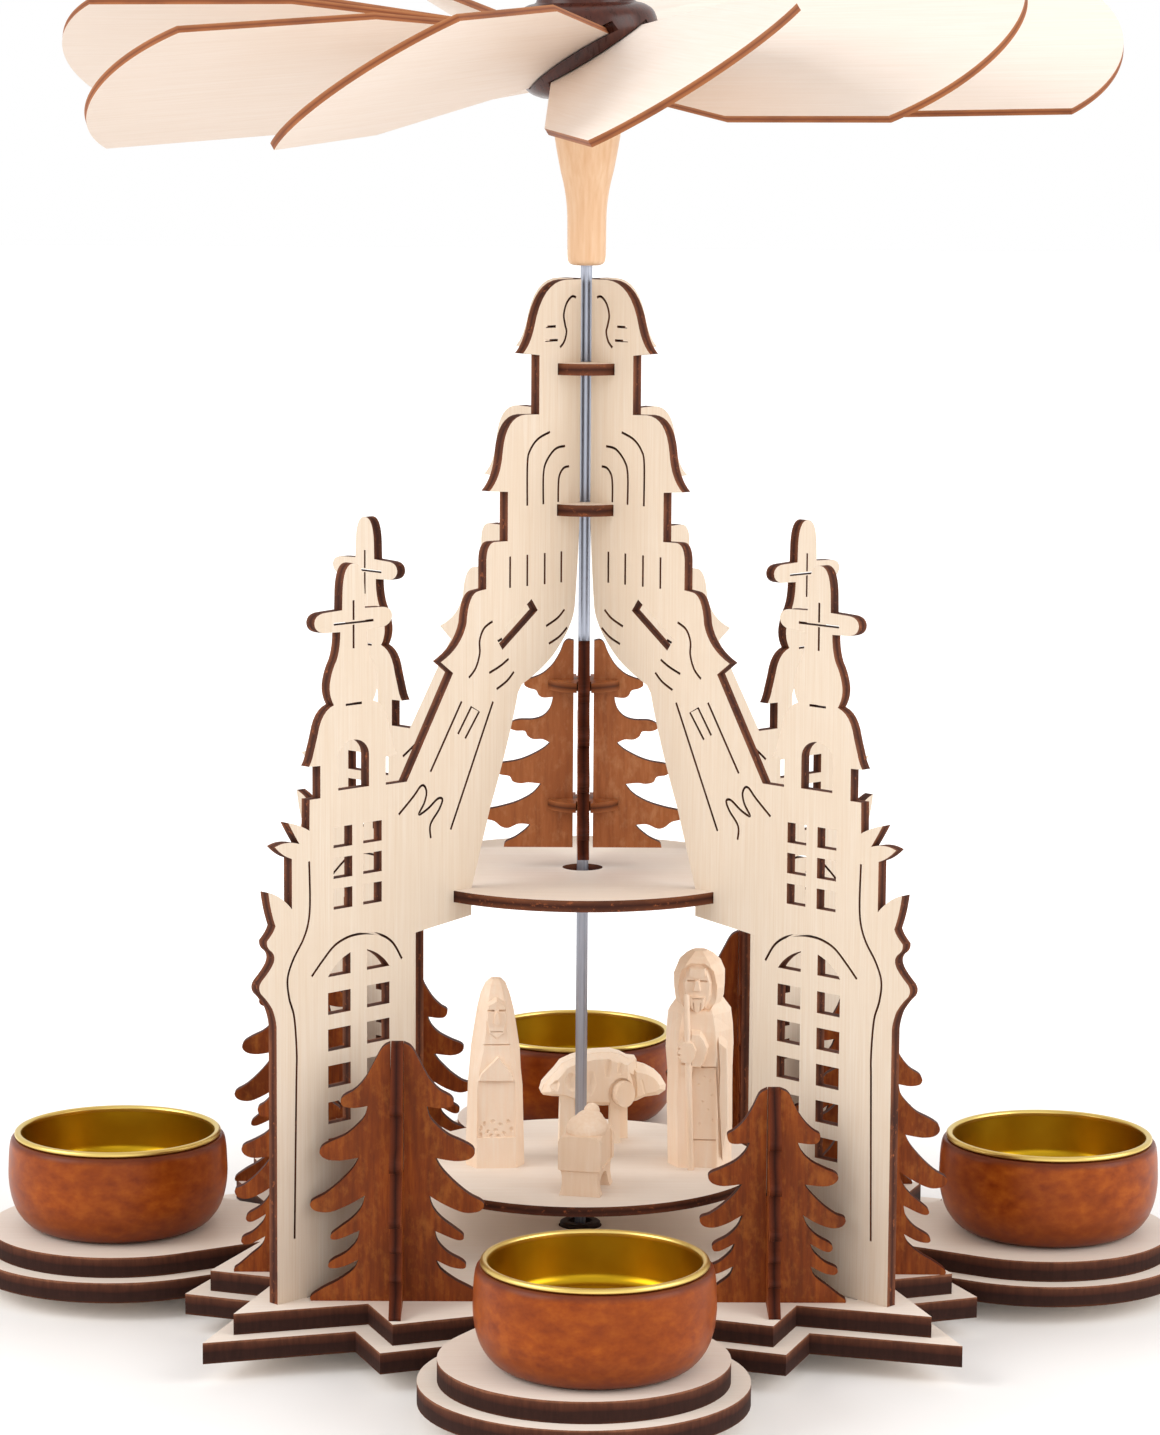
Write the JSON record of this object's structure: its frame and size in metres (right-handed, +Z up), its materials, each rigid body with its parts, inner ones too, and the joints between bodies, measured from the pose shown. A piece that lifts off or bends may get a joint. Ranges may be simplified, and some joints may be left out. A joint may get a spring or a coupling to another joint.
{
  "type": "christmas pyramid",
  "caption": "Laser-cut plywood Christmas pyramid with church-shaped walls, fir trees, candle holders and carved nativity figures on a disc that turns under pitched blades.",
  "frame": {"origin": "on the standing surface, under the shaft", "axes": "+Z up along the shaft, -Y towards the front lobe, +X to the right"},
  "size_m": [0.2562, 0.2562, 0.2741],
  "materials": {
    "birch_ply": "raw birch plywood with burnt edges",
    "stained_ply": "brown stain, satin",
    "stained_cup": "orange-brown stain, satin",
    "brass": "bright rolled sheet",
    "dark_pivot": "gloss",
    "steel": "drawn rod",
    "beech": "turned, clear finish",
    "dark_hub": "dark brown stain",
    "carved_wood": "knife-cut, raw"
  },
  "bodies": {
    "stand": {"base_lower": "birch_ply", "base_upper": "birch_ply", "wall_back_right": "birch_ply", "wall_back_left": "birch_ply", "wall_front_left": "birch_ply", "wall_front_right": "birch_ply", "guide_lower": "birch_ply", "guide_upper": "birch_ply", "platform": "birch_ply", "tree_large_front_across": "stained_ply", "tree_large_front_along": "stained_ply", "tree_small_front_across": "stained_ply", "tree_small_front_along": "stained_ply", "tree_large_right_across": "stained_ply", "tree_large_right_along": "stained_ply", "tree_small_right_across": "stained_ply", "tree_small_right_along": "stained_ply", "tree_large_back_across": "stained_ply", "tree_large_back_along": "stained_ply", "tree_small_back_across": "stained_ply", "tree_small_back_along": "stained_ply", "tree_large_left_across": "stained_ply", "tree_large_left_along": "stained_ply", "tree_small_left_across": "stained_ply", "tree_small_left_along": "stained_ply", "cup_front": "stained_cup", "cup_right": "stained_cup", "cup_back": "stained_cup", "cup_left": "stained_cup", "pan_front": "brass", "pan_right": "brass", "pan_back": "brass", "pan_left": "brass", "pivot_cup": "dark_pivot"},
    "rotor": {"shaft": "steel", "neck": "beech", "hub": "dark_hub", "blade_1": "birch_ply", "blade_2": "birch_ply", "blade_3": "birch_ply", "blade_4": "birch_ply", "blade_5": "birch_ply", "blade_6": "birch_ply", "blade_7": "birch_ply", "blade_8": "birch_ply", "blade_9": "birch_ply", "blade_10": "birch_ply", "crown_plate_1": "stained_ply", "crown_plate_2": "stained_ply", "crown_plate_3": "stained_ply", "crown_plate_4": "stained_ply", "crown_ring_lower": "stained_ply", "crown_ring_upper": "stained_ply", "figure_disc": "birch_ply", "figure_woman": "carved_wood", "figure_staff_bearer": "carved_wood", "figure_animal": "carved_wood", "manger": "carved_wood", "figure_child": "carved_wood"}
  },
  "joints": [
    {"name": "rotor_spin", "type": "hinge", "parent": "stand", "child": "rotor", "pos_m": [0, 0, 0.0125], "axis": [0, 0, 1], "continuous": true}
  ]
}
